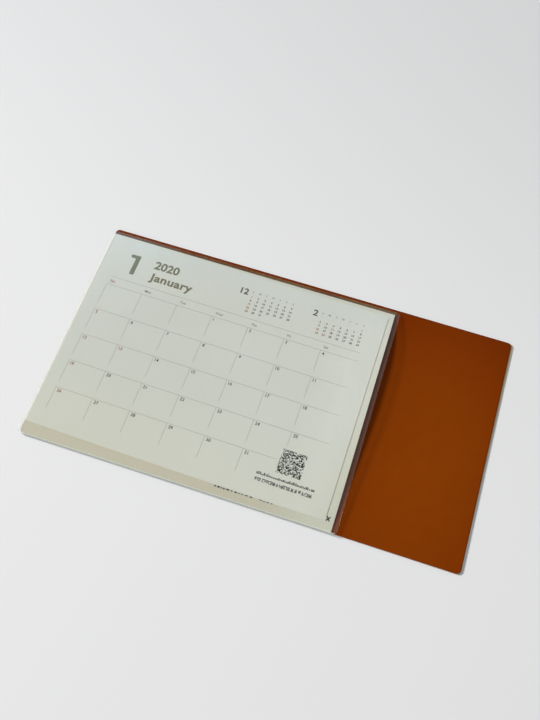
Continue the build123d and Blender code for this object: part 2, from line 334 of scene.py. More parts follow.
def backing_material():
    """Pale tan suede-like backing."""
    made, t = material("suede_backing")
    fibres = t.noise(1500, 4, 0.7)
    patches = t.noise(60, 3)
    color = t.mix(t.remap(fibres, 0.3, 0.7), SUEDE_DARK, SUEDE_LIGHT)
    color = t.mix(t.remap(patches, 0.3, 0.7, 0.0, 0.3), color, SUEDE_PATCHES)
    t.principled(color, 0.9, t.bump(fibres, 0.5, 0.1 * MM), Specular_IOR_Level=0.15)
    return made


CREAM_PAPER = ((0.79, 0.78, 0.685), (0.77, 0.76, 0.665))
WHITE_PAPER = ((0.795, 0.79, 0.725), (0.775, 0.77, 0.705))
PAPER_FIBRES = (0.45, 0.44, 0.38)
# Painted shade on the paper's lifted part, darker where it is steeper, to offset the extra lamp light on its
# tilt.
TILT_SHADE = (0.0, 0.0, 0.0)
TILT_SHADE_SHARE = 0.16


def paper_material(name, color, shade, tone):
    """Paper: a soft clouding of its colour, its fibres, and a little painted shade on its lifted part."""
    made, t = material(name)
    clouds = t.noise(14, 3, 0.5)
    fibres = t.noise(1400, 4, 0.7)
    shown = tone(t, t.mix(t.remap(clouds, 0.3, 0.7), shade, color))
    shown = t.mix(t.math("MULTIPLY", t.mark(), TILT_SHADE_SHARE), shown, TILT_SHADE)
    shown = t.mix(t.remap(fibres, 0.3, 0.7, 0.0, 0.05), shown, PAPER_FIBRES)
    t.principled(shown, 0.75, t.bump(fibres, 0.12, 0.03 * MM), Specular_IOR_Level=0.25)
    return made


# Tones of the papers, and the places on an axis where each starts and is whole
PAGE_NEAR = (0.815, 0.805, 0.695)
PAGE_NEAR_FADE = (20 * MM, -170 * MM)
# Painted reflection: a bluish tone along the far edge, standing in for bluish light mirrored in the cover.
PAGE_FAR_REFLECTION = (0.780, 0.800, 0.760)
PAGE_FAR_REFLECTION_FADE = (105 * MM, 165 * MM)
# Painted light: the page is drawn lighter right of its middle.
PAGE_PAINTED_LIGHT = (0.950, 0.955, 0.880)
PAGE_PAINTED_LIGHT_SHARE = 0.25
PAGE_PAINTED_LIGHT_LEFT_FADE = (-200 * MM, 20 * MM)
PAGE_PAINTED_LIGHT_RIGHT_FADE = (122 * MM, 84 * MM)
CREAM_NEAR = (0.780, 0.765, 0.635)
CREAM_NEAR_FADE = (100 * MM, -100 * MM)
TAN = (0.72, 0.665, 0.52)
TAN_NEAR_FADE = (-135 * MM, -150 * MM)
TAN_LEFT_FADE = (130 * MM, 10 * MM)
# Painted shade: a thin grey line along the under-sheet's left edge, standing in for the shade at the paper's
# edge.
LEFT_EDGE_SHADE = (0.30, 0.34, 0.32)
LEFT_EDGE_SHADE_SHARE = 0.14
LEFT_EDGE_SHADE_INSETS = (5 * MM, 2 * MM)


def page_tone(t, color):
    """The page is yellower towards the user, has a painted bluish reflection along its far edge, and painted
    light right of its middle.
    """
    color = t.mix(t.along("Y", *PAGE_NEAR_FADE), color, PAGE_NEAR)
    # Painted reflection along the far edge.
    color = t.mix(t.along("Y", *PAGE_FAR_REFLECTION_FADE), color, PAGE_FAR_REFLECTION)
    # Painted light right of the page's middle.
    left, right = t.along("X", *PAGE_PAINTED_LIGHT_LEFT_FADE), t.along("X", *PAGE_PAINTED_LIGHT_RIGHT_FADE)
    middle = t.math("MINIMUM", left, right)
    return t.mix(t.math("MULTIPLY", middle, PAGE_PAINTED_LIGHT_SHARE), color, PAGE_PAINTED_LIGHT)


def undersheet_tone(t, color):
    """The under-sheet is tan near the user at the left, cream elsewhere, with painted shade at its left edge.
    """
    color = t.mix(t.along("Y", *CREAM_NEAR_FADE), color, CREAM_NEAR)
    near, left = t.along("Y", *TAN_NEAR_FADE), t.along("X", *TAN_LEFT_FADE)
    color = t.mix(t.math("MULTIPLY", near, left), color, TAN)
    # Painted shade along the left edge.
    border = t.along("X", *(undersheet_low.x + inset for inset in LEFT_EDGE_SHADE_INSETS))
    return t.mix(t.math("MULTIPLY", border, LEFT_EDGE_SHADE_SHARE), color, LEFT_EDGE_SHADE)


# Each print's colour, and the share of the paper that it covers
INKS = {
    "dark_print": ((0.075, 0.072, 0.055), 0.92),
    "red_print": ((0.39, 0.115, 0.035), 0.94),
    "light_print": ((0.31, 0.30, 0.24), 0.88),
    "black_print": ((0.022, 0.021, 0.020), 0.98),
    "heading_print": ((0.215, 0.195, 0.11), 0.92),
    "tan_print": ((0.42, 0.38, 0.30), 0.85),
}
INK_FIBRES = (0.62, 0.63, 0.58)


def ink_material(name, color, cover):
    """Print on paper: its colour breaks up a little over the fibres."""
    made, t = material(name)
    fibres = t.noise(2200, 3, 0.7)
    shown = t.mix(t.remap(fibres, 0.35, 0.8, 0.0, 1 - cover), color, INK_FIBRES)
    t.principled(shown, 0.62, t.bump(fibres, 0.08, 0.02 * MM), Specular_IOR_Level=0.25)
    return made


MIRROR_POWER = 5.0
MIRROR_AT_EDGE = 0.9
MIRROR_AHEAD = 0.037


def clear_material(name, tint, haze, roughness_range, mirror_share=1.0):
    """A clear sheet: a mirror that grows at a flat view over a clear body with some haze."""
    made, t = material(name)
    facing = t.add("ShaderNodeLayerWeight", {"Blend": 0.5}).outputs["Facing"]
    mirror = t.math("MULTIPLY", t.math("POWER", facing, MIRROR_POWER), MIRROR_AT_EDGE)
    mirror = t.math("ADD", mirror, MIRROR_AHEAD)
    mirror = t.math("MULTIPLY", mirror, mirror_share)
    smears = t.noise(30, 3, 0.6)
    rough = t.remap(smears, 0.3, 0.7, *roughness_range)
    dimple = t.bump(t.noise(220, 2), 0.05, 0.1 * MM)
    clear = t.add("ShaderNodeBsdfTransparent", {"Color": tint}).outputs[0]
    share, color = haze(t, smears)
    veil = t.add("ShaderNodeBsdfDiffuse", {"Color": color}).outputs[0]
    gloss = t.add("ShaderNodeBsdfGlossy", {"Color": (1, 1, 1), "Roughness": rough, "Normal": dimple})
    body = t.add("ShaderNodeMixShader", {0: share, 1: clear, 2: veil}).outputs[0]
    whole = t.add("ShaderNodeMixShader", {0: mirror, 1: body, 2: gloss.outputs[0]}).outputs[0]
    t.output(whole)
    return made


# The cover's haze: its share in each zone, and how far from the edge the zone starts and is whole. Along the
# near edge it is partly a painted highlight, along the cut right edge a painted shade.
# Near edge: the sheet's haze together with a painted highlight of its bright cut edge.
NEAR_GLINT_HAZE = 0.34
NEAR_GLINT_HAZE_INSETS = (2.2 * MM, 1.0 * MM)
INNER_HAZE = 0.008
INNER_HAZE_INSETS = (4.2 * MM, 2.8 * MM)
# Painted shade: a dark haze on the cut right edge, standing in for the dark thick edge and the shadow it
# casts beside it.
RIGHT_SHADE_SHARE = 0.12
RIM_SHADE_SHARE = 0.12
RIGHT_SHADE_INSETS = (1.3 * MM, 0.6 * MM)
SMEAR_HAZE = (0.002, 0.006)
PALE_HAZE = (0.80, 0.88, 0.80)
# The rim's teal is partly the thick sheet's own edge colour and partly painted shade of its dark cut face.
RIM_TEAL_AND_SHADE = (0.30, 0.56, 0.62)
RIGHT_EDGE_SHADE = (0.07, 0.03, 0.02)


def cover_haze(t, smears):
    """The cover is pale along its near edge, partly its haze and partly a painted highlight of the bright cut
    edge, dark along its cut right edge as painted shade, and hardly hazy between.
    """
    near = t.along("Y", *(cover_low.y + inset for inset in NEAR_GLINT_HAZE_INSETS))
    right = t.along("X", *(cover_high.x - inset for inset in RIGHT_SHADE_INSETS))
    rim = t.mark()
    inner = t.along("X", *(cover_high.x - inset for inset in INNER_HAZE_INSETS))
    # Pale haze, with the painted highlight along the near edge.
    pale = t.math("ADD", t.math("MULTIPLY", near, NEAR_GLINT_HAZE), t.math("MULTIPLY", inner, INNER_HAZE))
    # Painted shade along the cut right edge.
    dark = t.math("MULTIPLY", right, t.math("ADD", t.math("MULTIPLY", rim, RIM_SHADE_SHARE), RIGHT_SHADE_SHARE))
    share = t.math("ADD", t.math("MAXIMUM", pale, dark), t.remap(smears, 0.3, 0.7, *SMEAR_HAZE))
    return share, t.mix(right, t.mix(rim, PALE_HAZE, RIM_TEAL_AND_SHADE), RIGHT_EDGE_SHADE)


COVER_TINT = (0.990, 0.997, 0.992)
COVER_ROUGHNESS = (0.14, 0.22)


def cover_material():
    """Clear soft sheet with a faint green tint."""
    return clear_material("clear_vinyl", COVER_TINT, cover_haze, COVER_ROUGHNESS)


TAPE_TINT = (0.98, 0.985, 0.95)
TAPE_ROUGHNESS = (0.3, 0.45)
TAPE_MIRROR_SHARE = 0.1
TAPE_HAZE = (0.085, 0.12)
TAPE_YELLOW = (0.80, 0.86, 0.32)
TAPE_GREEN = (0.74, 0.82, 0.36)


def adhesive_haze(t, smears):
    """A thin yellowish haze all over."""
    color = t.mix(smears, TAPE_YELLOW, TAPE_GREEN)
    return t.remap(smears, 0.3, 0.7, *TAPE_HAZE), color


def adhesive_material():
    """Clear tape, hazier than the sheet over it and joined to it, so that it hardly mirrors."""
    return clear_material("clear_tape", TAPE_TINT, adhesive_haze, TAPE_ROUGHNESS, TAPE_MIRROR_SHARE)


# Mesh helpers

def new_object(name, bm, finish):
    """An object in the scene with that geometry and material."""
    mesh = bpy.data.meshes.new(name)
    bm.to_mesh(mesh)
    bm.free()
    mesh.materials.append(finish)
    made = bpy.data.objects.new(name, mesh)
    bpy.context.scene.collection.objects.link(made)
    return made


def put(name, bm, finish, slot, *nodes):
    """Makes a piece that rides on the body and puts it in place of the nodes. Its slot is not used."""
    piece = new_object(name, bm, finish)
    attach(piece, BODY)
    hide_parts(*nodes)


def layered_sheet(outline, across, down, top, thickness, rounding, mark):
    """A thin sheet with rounded edges.

    outline(s, t, inset) places a point at shares s and t of the width and depth. top(x, y) is the
    height there. The rim is four rings between the upper and the lower layer. mark(x, y, rim) is
    kept at each vertex for the material."""
    bm = bmesh.new()
    marks = bm.verts.layers.float.new("mark")
    columns, rows = len(across), len(down)

    def point(s, t, inset, drop, rim=False):
        x, y = outline(s, t, inset)
        vertex = bm.verts.new((x, y, top(x, y) - drop))
        vertex[marks] = mark(x, y, rim)
        return vertex

    def layer(inset, drop):
        return [[point(s, t, inset, drop) for s in across] for t in down]

    def border():
        first = [(0, i) for i in range(columns)]
        right = [(j, columns - 1) for j in range(1, rows)]
        last = [(rows - 1, i) for i in range(columns - 2, -1, -1)]
        left = [(j, 0) for j in range(rows - 2, 0, -1)]
        return first + right + last + left

    def ring(inset, drop):
        return [point(across[i], down[j], inset, drop, True) for j, i in border()]

    corner = rounding * (1 - math.sqrt(0.5))
    upper = layer(rounding, 0)
    lower = layer(rounding, thickness)
    rings = [[upper[j][i] for j, i in border()]]
    for inset, drop in (
        (corner, corner),
        (0, rounding),
        (0, thickness - rounding),
        (corner, thickness - corner),
    ):
        rings.append(ring(inset, drop))
    rings.append([lower[j][i] for j, i in border()])
    for j in range(rows - 1):
        for i in range(columns - 1):
            bm.faces.new((upper[j][i], upper[j + 1][i], upper[j + 1][i + 1], upper[j][i + 1]))
            bm.faces.new((lower[j][i], lower[j][i + 1], lower[j + 1][i + 1], lower[j + 1][i]))
    for above, below in zip(rings, rings[1:]):
        count = len(above)
        for k in range(count):
            n = (k + 1) % count
            bm.faces.new((above[k], above[n], below[n], below[k]))
    bmesh.ops.recalc_face_normals(bm, faces=bm.faces)
    for face in bm.faces:
        face.smooth = True
    return bm


def spread(count, fine_from=0.5):
    """Shares from 0 to 1. Half of the steps lie past fine_from."""
    half = count // 2
    first = [fine_from * i / half for i in range(half)]
    return first + [fine_from + (1 - fine_from) * i / half for i in range(half + 1)]


HEM_SHARE = 0.001


def hemmed(shares):
    """Shares with one more close to each end, so that a sheet stays flat right up to its rounded edge."""
    return [shares[0], HEM_SHARE] + shares[1:-1] + [1 - HEM_SHARE, shares[-1]]


CORNER_STEPS = 8


def corner_shares(radius, length):
    """Shares of a length that fall on a corner's arc, with the end."""
    turns = [math.pi / 2 * i / CORNER_STEPS for i in range(CORNER_STEPS + 1)]
    return [radius * (1 - math.cos(turn)) / length for turn in turns]


def rounded_rectangle(low, high, radii):
    """An outline(s, t, inset). radii are those of the near left, near right, far right, far left."""
    def outline(s, t, inset):
        x0, x1 = low[0] + inset, high[0] - inset
        y0, y1 = low[1] + inset, high[1] - inset
        y = y1 + (y0 - y1) * t
        near_left, near_right, far_right_radius, far_left_radius = [max(r - inset, 0) for r in radii]

        def cut(radius_near, radius_far):
            if radius_far and y1 - y < radius_far:
                return radius_far - math.sqrt(max(0, radius_far**2 - (radius_far - (y1 - y)) ** 2))
            if radius_near and y - y0 < radius_near:
                return radius_near - math.sqrt(max(0, radius_near**2 - (radius_near - (y - y0)) ** 2))
            return 0.0

        left = x0 + cut(near_left, far_left_radius)
        right = x1 - cut(near_right, far_right_radius)
        return left + (right - left) * s, y
    return outline


def rectangle_down(low, high, radii, count):
    """Depth shares for a rounded rectangle: extra rows along its corners' arcs."""
    depth = high[1] - low[1]
    far_radius, near_radius = max(radii[2:]), max(radii[:2])
    far = corner_shares(far_radius, depth) if far_radius else [0.0]
    near = [1 - share for share in reversed(corner_shares(near_radius, depth))] if near_radius else [1.0]
    start, end = far[-1], near[0]
    middle = [start + (end - start) * i / count for i in range(1, count)]
    return far + middle + near


# Pieces of paper and the cover

PAPER_FINE_FROM = 0.72
COVER_FINE_FROM = 0.78
PAPER_COLUMNS = 90
PAPER_ROWS = 70
COVER_COLUMNS = 96
COVER_ROWS = 72
UNDERSHEET_ROUNDING = 0.05 * MM
PAGE_ROUNDING = 0.03 * MM
COVER_ROUNDING = 0.3 * MM
UNDERSHEET_CORNER = 6 * MM
COVER_CORNER = 5 * MM


def build_undersheet(finish):
    radii = (UNDERSHEET_CORNER, 0, 0, 0)
    low, high = undersheet_low.xy, undersheet_high.xy + Vector((PAPER_REACH, 0))
    outline = rounded_rectangle(low, high, radii)
    down = [0.0, HEM_SHARE] + rectangle_down(low, high, radii, PAPER_ROWS)[1:]
    sheet = layered_sheet(
        outline, hemmed(spread(PAPER_COLUMNS, PAPER_FINE_FROM)), down,
        lambda x, y: UNDERSHEET_TOP + paper_rise(x, y), UNDERSHEET_TOP - undersheet_low.z,
        UNDERSHEET_ROUNDING, paper_tilt,
    )
    put("undersheet", sheet, finish, "undersheet_paper", "paper_undersheet")


def page_place(x, y):
    """A place in the page's axes as a place on the mat."""
    place = PAGE_AXES @ Vector((x, y, 0))
    return place.x, place.y


def page_outline(s, t, inset):
    """The page's outline, with its near edge bowed out in the middle."""
    x = inset + (PAGE_LENGTH - 2 * inset) * s
    bow = PAGE_BOW * (1 - (2 * s - 1) ** 2)
    y = -inset - (PAGE_DEPTH + bow * t - 2 * inset) * t
    return page_place(x, y)


def build_page(finish):
    sheet = layered_sheet(
        page_outline, hemmed(spread(PAPER_COLUMNS, PAPER_FINE_FROM)), hemmed(spread(PAPER_ROWS)),
        lambda x, y: PAGE_TOP + paper_rise(x, y), PAGE_TOP - page_low.z,
        PAGE_ROUNDING, paper_tilt,
    )
    put("page", sheet, finish, "page_paper", "calendar_page")


def build_cover(finish):
    radii = (COVER_CORNER,) * 4
    low, high = cover_low.xy, cover_high.xy
    outline = rounded_rectangle(low, high, radii)
    sheet = layered_sheet(
        outline, hemmed(spread(COVER_COLUMNS, COVER_FINE_FROM)),
        rectangle_down(low, high, radii, COVER_ROWS),
        lambda x, y: COVER_BOTTOM + COVER_THICKNESS + cover_rise(x, y), COVER_THICKNESS,
        COVER_ROUNDING, lambda x, y, rim: float(rim),
    )
    put("cover_sheet", sheet, finish, "clear_sheet", "clear_cover")


# Print

def ink_height(x, y):
    """The top of the print on the page."""
    return PAGE_TOP + INK + paper_rise(x, y)


def drape(bm, height=ink_height):
    """Turns flat print in the page's axes and lays it on the page. Its z is its depth."""
    for vertex in bm.verts:
        x, y = page_place(vertex.co.x, vertex.co.y)
        vertex.co = (x, y, height(x, y) + vertex.co.z)


BAR_STEP = 4 * MM


def add_bar(bm, left, far, length, depth):
    """A flat bar with its far left corner at a place, in short steps so that it follows the page."""
    across = max(1, math.ceil(length / BAR_STEP))
    down = max(1, math.ceil(depth / BAR_STEP))
    grid = [
        [
            [bm.verts.new((left + length * i / across, far - depth * j / down, z)) for i in range(across + 1)]
            for j in range(down + 1)
        ]
        for z in (0.0, -INK_DEPTH)
    ]
    upper, lower = grid
    for j in range(down):
        for i in range(across):
            bm.faces.new((upper[j][i], upper[j + 1][i], upper[j + 1][i + 1], upper[j][i + 1]))
            bm.faces.new((lower[j][i], lower[j][i + 1], lower[j + 1][i + 1], lower[j + 1][i]))
    for i in range(across):
        bm.faces.new((upper[0][i], upper[0][i + 1], lower[0][i + 1], lower[0][i]))
        bm.faces.new((upper[down][i + 1], upper[down][i], lower[down][i], lower[down][i + 1]))
    for j in range(down):
        bm.faces.new((upper[j + 1][0], upper[j][0], lower[j][0], lower[j + 1][0]))
        bm.faces.new((upper[j][across], upper[j + 1][across], lower[j + 1][across], lower[j][across]))


def join_solid(mesh):
    """Joins the front, back and sides of a text's mesh, and shades it flat."""
    bm = bmesh.new()
    bm.from_mesh(mesh)
    bmesh.ops.remove_doubles(bm, verts=bm.verts, dist=JOIN_DISTANCE)
    for face in bm.faces:
        face.smooth = False
    bm.to_mesh(mesh)
    bm.free()


TEXT_STEPS = 4
FIGURE_SHARE = 0.7


def text_mesh(text, size, weight, spacing):
    """A flat solid of a text in the built-in font, with its near left corner at its own origin."""
    curve = bpy.data.curves.new("text", "FONT")
    curve.body = text
    curve.size = size
    curve.offset = weight
    curve.space_character = spacing
    curve.extrude = INK_DEPTH / 2
    curve.resolution_u = TEXT_STEPS
    holder = bpy.data.objects.new("text", curve)
    bpy.context.scene.collection.objects.link(holder)
    bpy.context.view_layer.update()
    mesh = bpy.data.meshes.new_from_object(holder)
    bpy.data.objects.remove(holder)
    bpy.data.curves.remove(curve)
    join_solid(mesh)
    return mesh


def add_text(bm, text, left, base, height, weight, spacing=1.0, stretch=1.0, align=0.0):
    """Adds a text whose figures have that height. align is 0 for left, 0.5 for centred, 1 for right."""
    mesh = text_mesh(text, height / FIGURE_SHARE, weight, spacing)
    low = min(v.co.x for v in mesh.vertices)
    high = max(v.co.x for v in mesh.vertices)
    shift = left - (low + (high - low) * align) * stretch
    mesh.transform(Matrix.Translation((shift, base, -INK_DEPTH / 2)) @ Matrix.Diagonal((stretch, 1, 1, 1)))
    bm.from_mesh(mesh)
    bpy.data.meshes.remove(mesh)


def corner_of_cell(column, row):
    """The far left corner of a day's cell."""
    return GRID_LEFT + column * CELL_LENGTH, -GRID_FAR - row * CELL_DEPTH


FIRST_COLUMN = 3
LAST_DATE = 31
HOLIDAYS = (1, 13)
DATE_HEIGHT = 4.5 * MM
DATE_LEFT = 3.9 * MM
DATE_FAR = 1.9 * MM
DATE_WEIGHT = 0.13 * MM


def build_dates(finish, red, name, slot, *nodes):
    bm = bmesh.new()
    for date in range(1, LAST_DATE + 1):
        cell = date - 1 + FIRST_COLUMN
        column, row = cell % COLUMNS, cell // COLUMNS
        if (column == 0 or date in HOLIDAYS) != red:
            continue
        x, y = corner_of_cell(column, row)
        add_text(bm, str(date), x + DATE_LEFT, y - DATE_FAR - DATE_HEIGHT, DATE_HEIGHT, DATE_WEIGHT)
    if red:
        add_weekday(bm, 0)
    drape(bm)
    put(name, bm, finish, slot, *nodes)


WEEKDAYS = ("Sun", "Mon", "Tue", "Wed", "Thu", "Fri", "Sat")
WEEKDAY_HEIGHT = 3.8 * MM
WEEKDAY_WEIGHT = 0.12 * MM
WEEKDAY_LEFT = 3.2 * MM
WEEKDAY_BASE = 4.5 * MM


def add_weekday(bm, column):
    x, y = corner_of_cell(column, 0)
    add_text(bm, WEEKDAYS[column], x + WEEKDAY_LEFT, y + WEEKDAY_BASE, WEEKDAY_HEIGHT, WEEKDAY_WEIGHT)


RULE_WIDTH = 0.4 * MM
HEADING_RULE_GAP = 13.5 * MM
COLUMN_RULE_LENGTH = 33.0 * MM
COLUMN_RULE_OFFSET = 0.6 * MM
CUT_ROWS = 1
CUT_RULE_LENGTH = 315.2 * MM
CUT_COLUMN_RULE_LENGTH = 21.35 * MM


def build_rules(finish):
    bm = bmesh.new()
    full = COLUMNS * CELL_LENGTH
    for row in range(ROWS):
        x, y = corner_of_cell(0, row)
        length = full if row < ROWS - CUT_ROWS else CUT_RULE_LENGTH
        add_bar(bm, x, y + RULE_WIDTH / 2, length, RULE_WIDTH)
    x, y = corner_of_cell(0, 0)
    add_bar(bm, x, y + HEADING_RULE_GAP + RULE_WIDTH / 2, full, RULE_WIDTH)
    for row in range(ROWS):
        for column in range(COLUMNS):
            x, y = corner_of_cell(column, row)
            if column == COLUMNS - 1 and row == ROWS - CUT_ROWS:
                continue
            cut = column == COLUMNS - 1 and row == ROWS - CUT_ROWS - 1
            length = CUT_COLUMN_RULE_LENGTH if cut else COLUMN_RULE_LENGTH
            add_bar(bm, x + COLUMN_RULE_OFFSET - RULE_WIDTH / 2, y - RULE_WIDTH / 2, RULE_WIDTH, length)
    drape(bm)
    put("month_rules", bm, finish, "light_ink", "printed_rules")


MONTH_OUTLINE = (
    (34.2, -24.2), (34.4, -29.3), (42.0, -29.6), (42.0, -56.4), (48.7, -56.4), (48.7, -23.8),
)
HEADING_WEIGHT = 0.55 * MM
YEAR_PLACE = (72.7 * MM, -36.4 * MM)
YEAR_HEIGHT = 12.7 * MM
YEAR_STRETCH = 1.04
MONTH_PLACE = (72.5 * MM, -56.4 * MM)
MONTH_HEIGHT = 12.1 * MM
MONTH_SPACING = 1.06
MONTH_STRETCH = 1.16


def add_month_number(bm):
    """The big number of the month, as a solid of its outline in millimetres."""
    upper = [bm.verts.new((x * MM, y * MM, 0)) for x, y in MONTH_OUTLINE]
    lower = [bm.verts.new((x * MM, y * MM, -INK_DEPTH)) for x, y in MONTH_OUTLINE]
    bm.faces.new(upper)
    bm.faces.new(lower[::-1])
    for k in range(len(upper)):
        n = (k + 1) % len(upper)
        bm.faces.new((upper[n], upper[k], lower[k], lower[n]))


def build_heading(finish):
    bm = bmesh.new()
    add_month_number(bm)
    add_text(bm, "2020", *YEAR_PLACE, YEAR_HEIGHT, HEADING_WEIGHT, 1.0, YEAR_STRETCH)
    add_text(bm, "January", *MONTH_PLACE, MONTH_HEIGHT, HEADING_WEIGHT, MONTH_SPACING, MONTH_STRETCH)
    drape(bm)
    put("month_heading", bm, finish, "heading_ink", "printed_heading")


SMALL_LEFTS = (223.1 * MM, 327.8 * MM)
SMALL_FAR = 25.5 * MM
SMALL_COLUMN = 10.03 * MM
SMALL_ROW = 6.05 * MM
SMALL_FIRST_ROW = 8.3 * MM
SMALL_HEIGHT = 3.1 * MM
SMALL_WEIGHT = 0.12 * MM
SMALL_LABELS = ("12", "2")
SMALL_LABEL_GAP = 6.6 * MM
SMALL_LABEL_BASE = 6.7 * MM
SMALL_LABEL_HEIGHT = 9.3 * MM
SMALL_LABEL_WEIGHT = 0.3 * MM
SMALL_LABEL_STRETCH = 1.1
SMALL_DAY_BASE = 1.3 * MM
SMALL_DAY_HEIGHT = 2.7 * MM
SMALL_FIRST_COLUMNS = (0, 6)
SMALL_LAST_DATES = (31, 29)
SMALL_HOLIDAYS = ((), (11, 24))


def small_dates(red):
    """Each number of the small calendars that is red or isn't, and its middle."""
    for month, left in enumerate(SMALL_LEFTS):
        for date in range(1, SMALL_LAST_DATES[month] + 1):
            cell = date - 1 + SMALL_FIRST_COLUMNS[month]
            column, row = cell % COLUMNS, cell // COLUMNS
            if (column == 0 or date in SMALL_HOLIDAYS[month]) == red:
                yield str(date), left + column * SMALL_COLUMN, -SMALL_FAR - SMALL_FIRST_ROW - row * SMALL_ROW


def build_small(finish, red, name, slot, *nodes):
    bm = bmesh.new()
    for text, x, y in small_dates(red):
        add_text(bm, text, x, y - SMALL_HEIGHT / 2, SMALL_HEIGHT, SMALL_WEIGHT, align=0.5)
    if not red:
        for left, label in zip(SMALL_LEFTS, SMALL_LABELS):
            x, y = left - SMALL_LABEL_GAP, -SMALL_FAR - SMALL_LABEL_BASE
            add_text(
                bm, label, x, y, SMALL_LABEL_HEIGHT, SMALL_LABEL_WEIGHT,
                stretch=SMALL_LABEL_STRETCH, align=1.0,
            )
    drape(bm)
    put(name, bm, finish, slot, *nodes)


def build_weekdays(finish):
    bm = bmesh.new()
    for column in range(1, COLUMNS):
        add_weekday(bm, column)
    for left in SMALL_LEFTS:
        for column in range(COLUMNS):
            x, y = left + column * SMALL_COLUMN, -SMALL_FAR - SMALL_DAY_BASE
            add_text(bm, WEEKDAYS[column][0], x, y, SMALL_DAY_HEIGHT, WEEKDAY_WEIGHT, align=0.5)
    drape(bm)
    put("weekday_names", bm, finish, "light_ink", "printed_weekdays")


EDGE_LINE_MARGIN = 5 * MM
EDGE_LINE_WIDTH = 0.7 * MM
EDGE_LINE_INSET = 0.6 * MM


def build_edge_line(finish):
    bm = bmesh.new()
    left = PAGE_LENGTH - EDGE_LINE_INSET - EDGE_LINE_WIDTH / 2
    add_bar(bm, left, -EDGE_LINE_MARGIN, EDGE_LINE_WIDTH, PAGE_DEPTH - 2 * EDGE_LINE_MARGIN)
    drape(bm)
    put("page_edge_line", bm, finish, "edge_ink", "printed_edge_line")


BLOCK_LEFT = 338.0 * MM
BLOCK_FAR = 236.8 * MM
BLOCK_SIZE = 34.0 * MM
BLOCK_SQUARES = 29
BLOCK_FILL = 0.48
BLOCK_SEED = 7

# Rows of bars and tallies under the block, in millimetres
BARS_LEFT = 315.0
BARS_RIGHT = 394
BARS_BASE = 280.6
TALLIES = 16
TALLY_LEFT = 315.2
TALLY_STEP = 4.95
TALLY_BASE = 289.6
TALLY_SIZE = 4.6
TALLY_STROKE = 0.95

# Ranges of the random draws: millimetres, and shares of a tally's size or of a tick's reach
BAR_WIDTHS = (1.0, 2.0)
BAR_HEIGHTS = (1.6, 4.2)
BAR_GAPS = (0.4, 1.4)
UPRIGHT_PLACES = (0.1, 0.45, 0.8)
UPRIGHT_LENGTHS = (0.6, 1.0)
FLAT_PLACES = (0.2, 0.6, 1.0)
FLAT_LENGTHS = (0.5, 0.95)
TICK_LENGTHS = (1.2, 4.6)
TICK_DEPTHS = (0.75, 1.0)
TICK_GAPS = (1.4, 3.2)


def add_tally(bm, draw, left, near):
    """A few short bars in a small square, some upright and some flat."""
    size, stroke = TALLY_SIZE * MM, TALLY_STROKE * MM
    for share in draw.sample(UPRIGHT_PLACES, 2):
        length = draw.uniform(*UPRIGHT_LENGTHS) * size
        add_bar(bm, left * MM + share * size, near * MM + size, stroke, length)
    for share in draw.sample(FLAT_PLACES, 2):
        length = draw.uniform(*FLAT_LENGTHS) * size
        add_bar(bm, left * MM, near * MM + share * size, length, stroke)


def add_mosaic(bm, draw):
    """Rows of small squares in a square block. Squares side by side are one bar."""
    pitch = BLOCK_SIZE / BLOCK_SQUARES
    for row in range(BLOCK_SQUARES):
        filled = [draw.random() < BLOCK_FILL for _ in range(BLOCK_SQUARES)] + [False]
        start = 0
        for column, dark in enumerate(filled):
            if dark:
                continue
            if column > start:
                x = BLOCK_LEFT + start * pitch
                add_bar(bm, x, -BLOCK_FAR - row * pitch, (column - start) * pitch, pitch)
            start = column + 1


def build_block(finish):
    """A mosaic of small squares with plain bars under it."""
    draw = random.Random(BLOCK_SEED)
    bm = bmesh.new()
    add_mosaic(bm, draw)
    x = BARS_LEFT
    while x < BARS_RIGHT:
        width, height = draw.uniform(*BAR_WIDTHS), draw.uniform(*BAR_HEIGHTS)
        add_bar(bm, x * MM, (height - BARS_BASE) * MM, width * MM, height * MM)
        x += width + draw.uniform(*BAR_GAPS)
    for k in range(TALLIES):
        add_tally(bm, draw, TALLY_LEFT + TALLY_STEP * k, -TALLY_BASE)
    drape(bm)
    put("code_block", bm, finish, "black_ink", "printed_block")


def undersheet_ink_height(x, y):
    """The top of the print on the under-sheet."""
    return UNDERSHEET_TOP + INK + paper_rise(x, y)


CROSS_PLACE = (PAGE_LENGTH + 2.6 * MM, 3.6 * MM - PAGE_DEPTH, 0)
CROSS_ANGLE = math.radians(52)
CROSS_ARM = 7.4 * MM
CROSS_STROKE = 1.6 * MM

# Ticks past the page's near edge, in millimetres: deep ones at first, then a break and faint ones
TICK_SEED = 3
TICKS_LEFT = 269.5
TICKS_RIGHT = 349
TICK_BREAK = (318, 329)
TICK_START = 0.7
DEEP_REACH = 3.1
FAINT_REACH = 1.4
REACH_SLOPE = 35


def add_cross(bm):
    for angle in (CROSS_ANGLE, -CROSS_ANGLE):
        start = len(bm.verts)
        add_bar(bm, -CROSS_ARM / 2, CROSS_STROKE / 2, CROSS_ARM, CROSS_STROKE)
        turn = Matrix.Translation(CROSS_PLACE) @ Matrix.Rotation(angle, 4, "Z")
        bm.verts.ensure_lookup_table()
        for vertex in bm.verts[start:]:
            vertex.co = turn @ vertex.co


